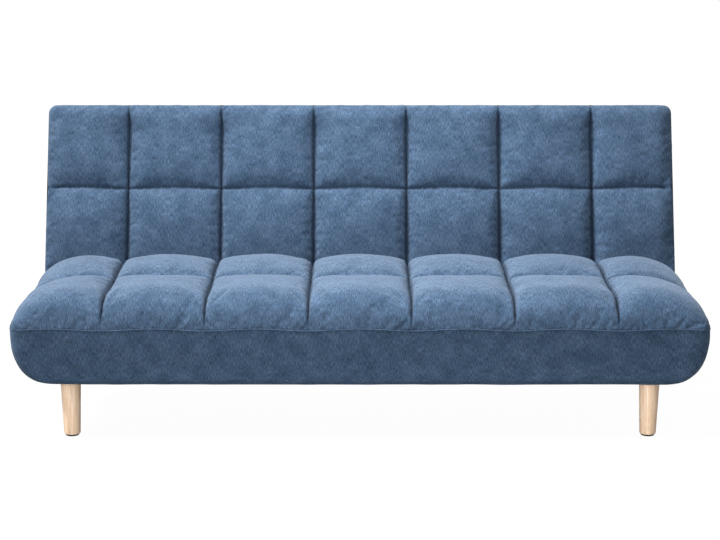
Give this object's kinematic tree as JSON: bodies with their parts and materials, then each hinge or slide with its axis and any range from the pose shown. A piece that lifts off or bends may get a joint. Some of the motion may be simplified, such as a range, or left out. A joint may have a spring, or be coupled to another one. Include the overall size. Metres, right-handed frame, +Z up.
{
  "type": "futon sofa bed",
  "caption": "Armless click-clack futon sofa bed with a biscuit-tufted blue seat and a backrest that folds down flat, on tapered wooden legs.",
  "frame": {"origin": "on the floor under the middle of the bounding box", "axes": "+X along the width, towards the right seen from the front; +Y towards the back; +Z up"},
  "size_m": [1.8, 0.7852, 0.7961],
  "materials": {
    "blue_fabric": "heathered blue chenille with a short velvety nap",
    "foam": "upholstery foam",
    "black_cloth": "black non-woven dust cloth",
    "black_steel": "black powder coat",
    "zinc_steel": "zinc plated",
    "beech": "satin lacquered pale beech",
    "black_plastic": "moulded black plastic",
    "webbing": "woven elastic webbing"
  },
  "bodies": {
    "seat": {"seat_cover": "blue_fabric", "seat_foam": "foam", "seat_dust_cover": "black_cloth", "seat_front_tube": "black_steel", "seat_rear_tube": "black_steel", "rear_leg_beam": "black_steel", "seat_centre_tube": "black_steel", "seat_spring_1": "zinc_steel", "seat_spring_2": "zinc_steel", "seat_spring_3": "zinc_steel", "seat_spring_4": "zinc_steel", "seat_spring_5": "zinc_steel", "seat_spring_6": "zinc_steel", "seat_side_tube_left": "black_steel", "tube_cap_left": "black_plastic", "leg_front_left": "beech", "leg_stud_front_left": "zinc_steel", "leg_glide_front_left": "black_plastic", "leg_rear_left": "beech", "leg_stud_rear_left": "zinc_steel", "leg_glide_rear_left": "black_plastic", "hinge_bracket_left": "black_steel", "hinge_pin_left": "zinc_steel", "pawl_pin_left": "zinc_steel", "pawl_spring_left": "zinc_steel", "bracket_bolt_left_1": "zinc_steel", "bracket_bolt_left_2": "zinc_steel", "seat_side_tube_right": "black_steel", "tube_cap_right": "black_plastic", "leg_front_right": "beech", "leg_stud_front_right": "zinc_steel", "leg_glide_front_right": "black_plastic", "leg_rear_right": "beech", "leg_stud_rear_right": "zinc_steel", "leg_glide_rear_right": "black_plastic", "hinge_bracket_right": "black_steel", "hinge_pin_right": "zinc_steel", "pawl_pin_right": "zinc_steel", "pawl_spring_right": "zinc_steel", "bracket_bolt_right_1": "zinc_steel", "bracket_bolt_right_2": "zinc_steel"},
    "back": {"back_cover": "blue_fabric", "back_foam": "foam", "back_top_tube": "black_steel", "back_bottom_tube": "black_steel", "back_middle_tube": "black_steel", "back_strap_1": "webbing", "back_strap_2": "webbing", "back_strap_3": "webbing", "back_strap_4": "webbing", "back_side_tube_left": "black_steel", "ratchet_plate_left": "zinc_steel", "ratchet_bolt_left_1": "zinc_steel", "ratchet_bolt_left_2": "zinc_steel", "back_side_tube_right": "black_steel", "ratchet_plate_right": "zinc_steel", "ratchet_bolt_right_1": "zinc_steel", "ratchet_bolt_right_2": "zinc_steel"},
    "pawl_left": {"pawl_left": "zinc_steel"},
    "pawl_right": {"pawl_right": "zinc_steel"}
  },
  "joints": [
    {"name": "back_hinge", "type": "hinge", "parent": "seat", "child": "back", "pos_m": [0, 0.17738, 0.335], "axis": [-1, 0, 0], "range_deg": [-15, 70]},
    {"name": "pawl_hinge_left", "type": "hinge", "parent": "seat", "child": "pawl_left", "pos_m": [-0.734, 0.20338, 0.295], "axis": [-1, 0, 0], "range_deg": [0, 8], "stiffness_Nm_per_rad": 0.5, "deforming": ["pawl_spring_left"]},
    {"name": "pawl_hinge_right", "type": "hinge", "parent": "seat", "child": "pawl_right", "pos_m": [0.734, 0.20338, 0.295], "axis": [-1, 0, 0], "range_deg": [0, 8], "stiffness_Nm_per_rad": 0.5, "deforming": ["pawl_spring_right"]}
  ]
}
